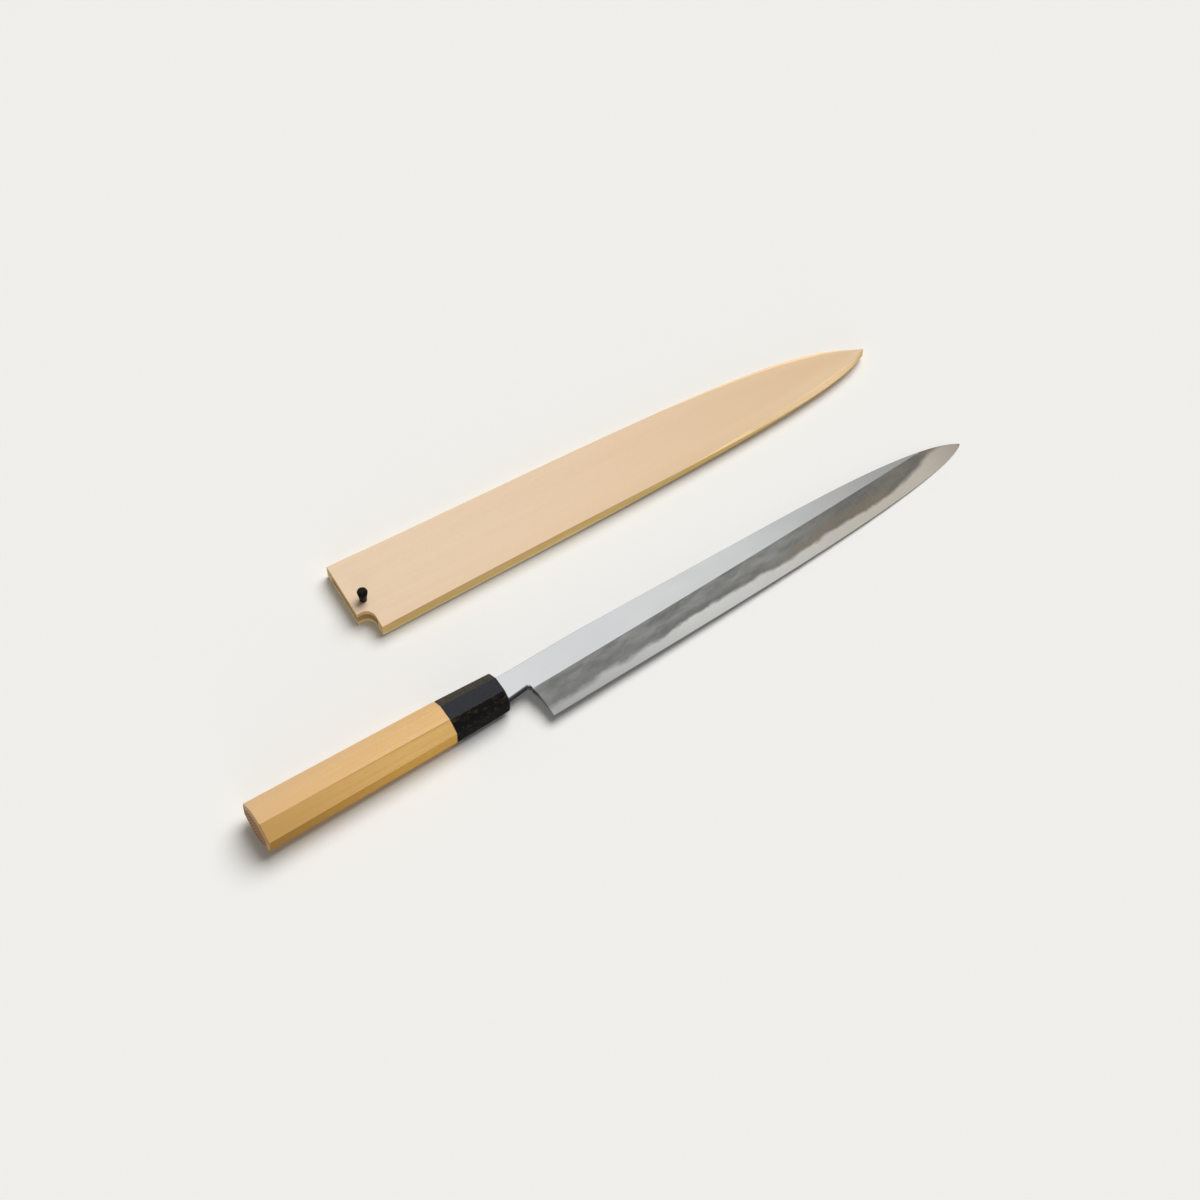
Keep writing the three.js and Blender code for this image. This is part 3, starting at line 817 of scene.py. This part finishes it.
FLOOR_WIDTH = 12
FLOOR_COLOUR = (0.855, 0.847, 0.817, 1)


def pale_floor():
    material, _, shader = new_material("pale_floor", specular=0.0)
    shader.inputs["Base Color"].default_value = FLOOR_COLOUR
    shader.inputs["Roughness"].default_value = 1.0
    return material


bpy.ops.object.select_all(action="DESELECT")
bpy.ops.mesh.primitive_plane_add(size=FLOOR_WIDTH, location=(0, 0, 0))
floor = bpy.context.object
floor.name = "floor"
floor.data.materials.append(pale_floor())
floor.visible_glossy = False  # polished near sides mirror the dim room

# A wide window on the far side, a soft card above the blade and a dim room on the near side.
# Matt faces get a share of it beside the key light, and a low card on the near side.
# Polished edges mirror a small lamp on the near left.
WINDOW = 0.62
WINDOW_SIDE = Vector((0.3, 0.95, 0.45)).normalized()
ROOM = 0.08
CARD = 0.5
CARD_SIDE = Vector((-0.05, 0.45, 0.89)).normalized()
MATT_SHARE = 0.28
FRONT = 1.25
FRONT_SIDE = Vector((-0.40, -0.88, 0.20)).normalized()
LAMP = 1.4
LAMP_SIDE = Vector((-0.40, -0.73, 0.51)).normalized()
BACKDROP = 0.86
KEY = 3.0
KEY_SIDE = Vector((0.50, 0.20, 0.843))
KEY_WIDTH = math.radians(46)

# The photo's camera
CAMERA_PLACE = Vector((-0.39125, -0.61280, 1.19521))
CAMERA_AIM = Vector((0.00090, -0.02131, 0))
CAMERA_ROLL = math.radians(0.13)
CAMERA_LENS = 81.4

world = bpy.data.worlds.new("studio")
world.use_nodes = True
bpy.context.scene.world = world
sky = world.node_tree
background = sky.nodes["Background"]
background.inputs["Color"].default_value = (1, 1, 1, 1)
direction = add_node(sky, "ShaderNodeTexCoord").outputs["Generated"]
path = add_node(sky, "ShaderNodeLightPath").outputs


def facing(towards):
    node = add_node(sky, "ShaderNodeVectorMath", {0: direction, 1: towards}, operation="DOT_PRODUCT")
    return node.outputs["Value"]


def patch(towards, strength, outer, inner):
    """A round patch of light with a soft border between two angles from its middle."""
    border, core = (math.cos(math.radians(angle)) for angle in (outer, inner))
    return ramp(sky, facing(towards), border, core, 0.0, strength)


def switched(ray, otherwise, seen):
    """One brightness for a kind of ray and another for all the rest."""
    mix = {"Factor": path[ray], "A": otherwise, "B": seen}
    return add_node(sky, "ShaderNodeMix", mix, data_type="FLOAT").outputs["Result"]


window = ramp(sky, facing(WINDOW_SIDE), -0.35, 0.45, ROOM, WINDOW)
studio = calc(sky, "ADD", window, patch(CARD_SIDE, CARD, outer=30, inner=18))
front = patch(FRONT_SIDE, FRONT, outer=38, inner=12)
matt = calc(sky, "MULTIPLY_ADD", studio, MATT_SHARE, front)
glossy = calc(sky, "ADD", studio, patch(LAMP_SIDE, LAMP, outer=22, inner=10))
lit = switched("Is Glossy Ray", matt, glossy)
sky.links.new(switched("Is Camera Ray", lit, BACKDROP), background.inputs["Strength"])

bpy.ops.object.light_add(type="SUN")
key = bpy.context.object
key.name = "key_light"
key.data.energy = KEY
key.data.angle = KEY_WIDTH
key.visible_glossy = False  # as if flagged off the polished faces
key.rotation_euler = KEY_SIDE.to_track_quat("Z", "Y").to_euler()

camera_data = bpy.data.cameras.new("camera")
camera = bpy.data.objects.new("camera", camera_data)
bpy.context.scene.collection.objects.link(camera)
bpy.context.scene.camera = camera
camera.location = CAMERA_PLACE
look = (CAMERA_AIM - CAMERA_PLACE).to_track_quat("-Z", "Y")
camera.rotation_euler = (look @ Quaternion((0, 0, 1), CAMERA_ROLL)).to_euler()
camera_data.sensor_width = 36
camera_data.lens = CAMERA_LENS

bpy.context.scene.view_settings.view_transform = "Standard"

bpy.context.view_layer.update()
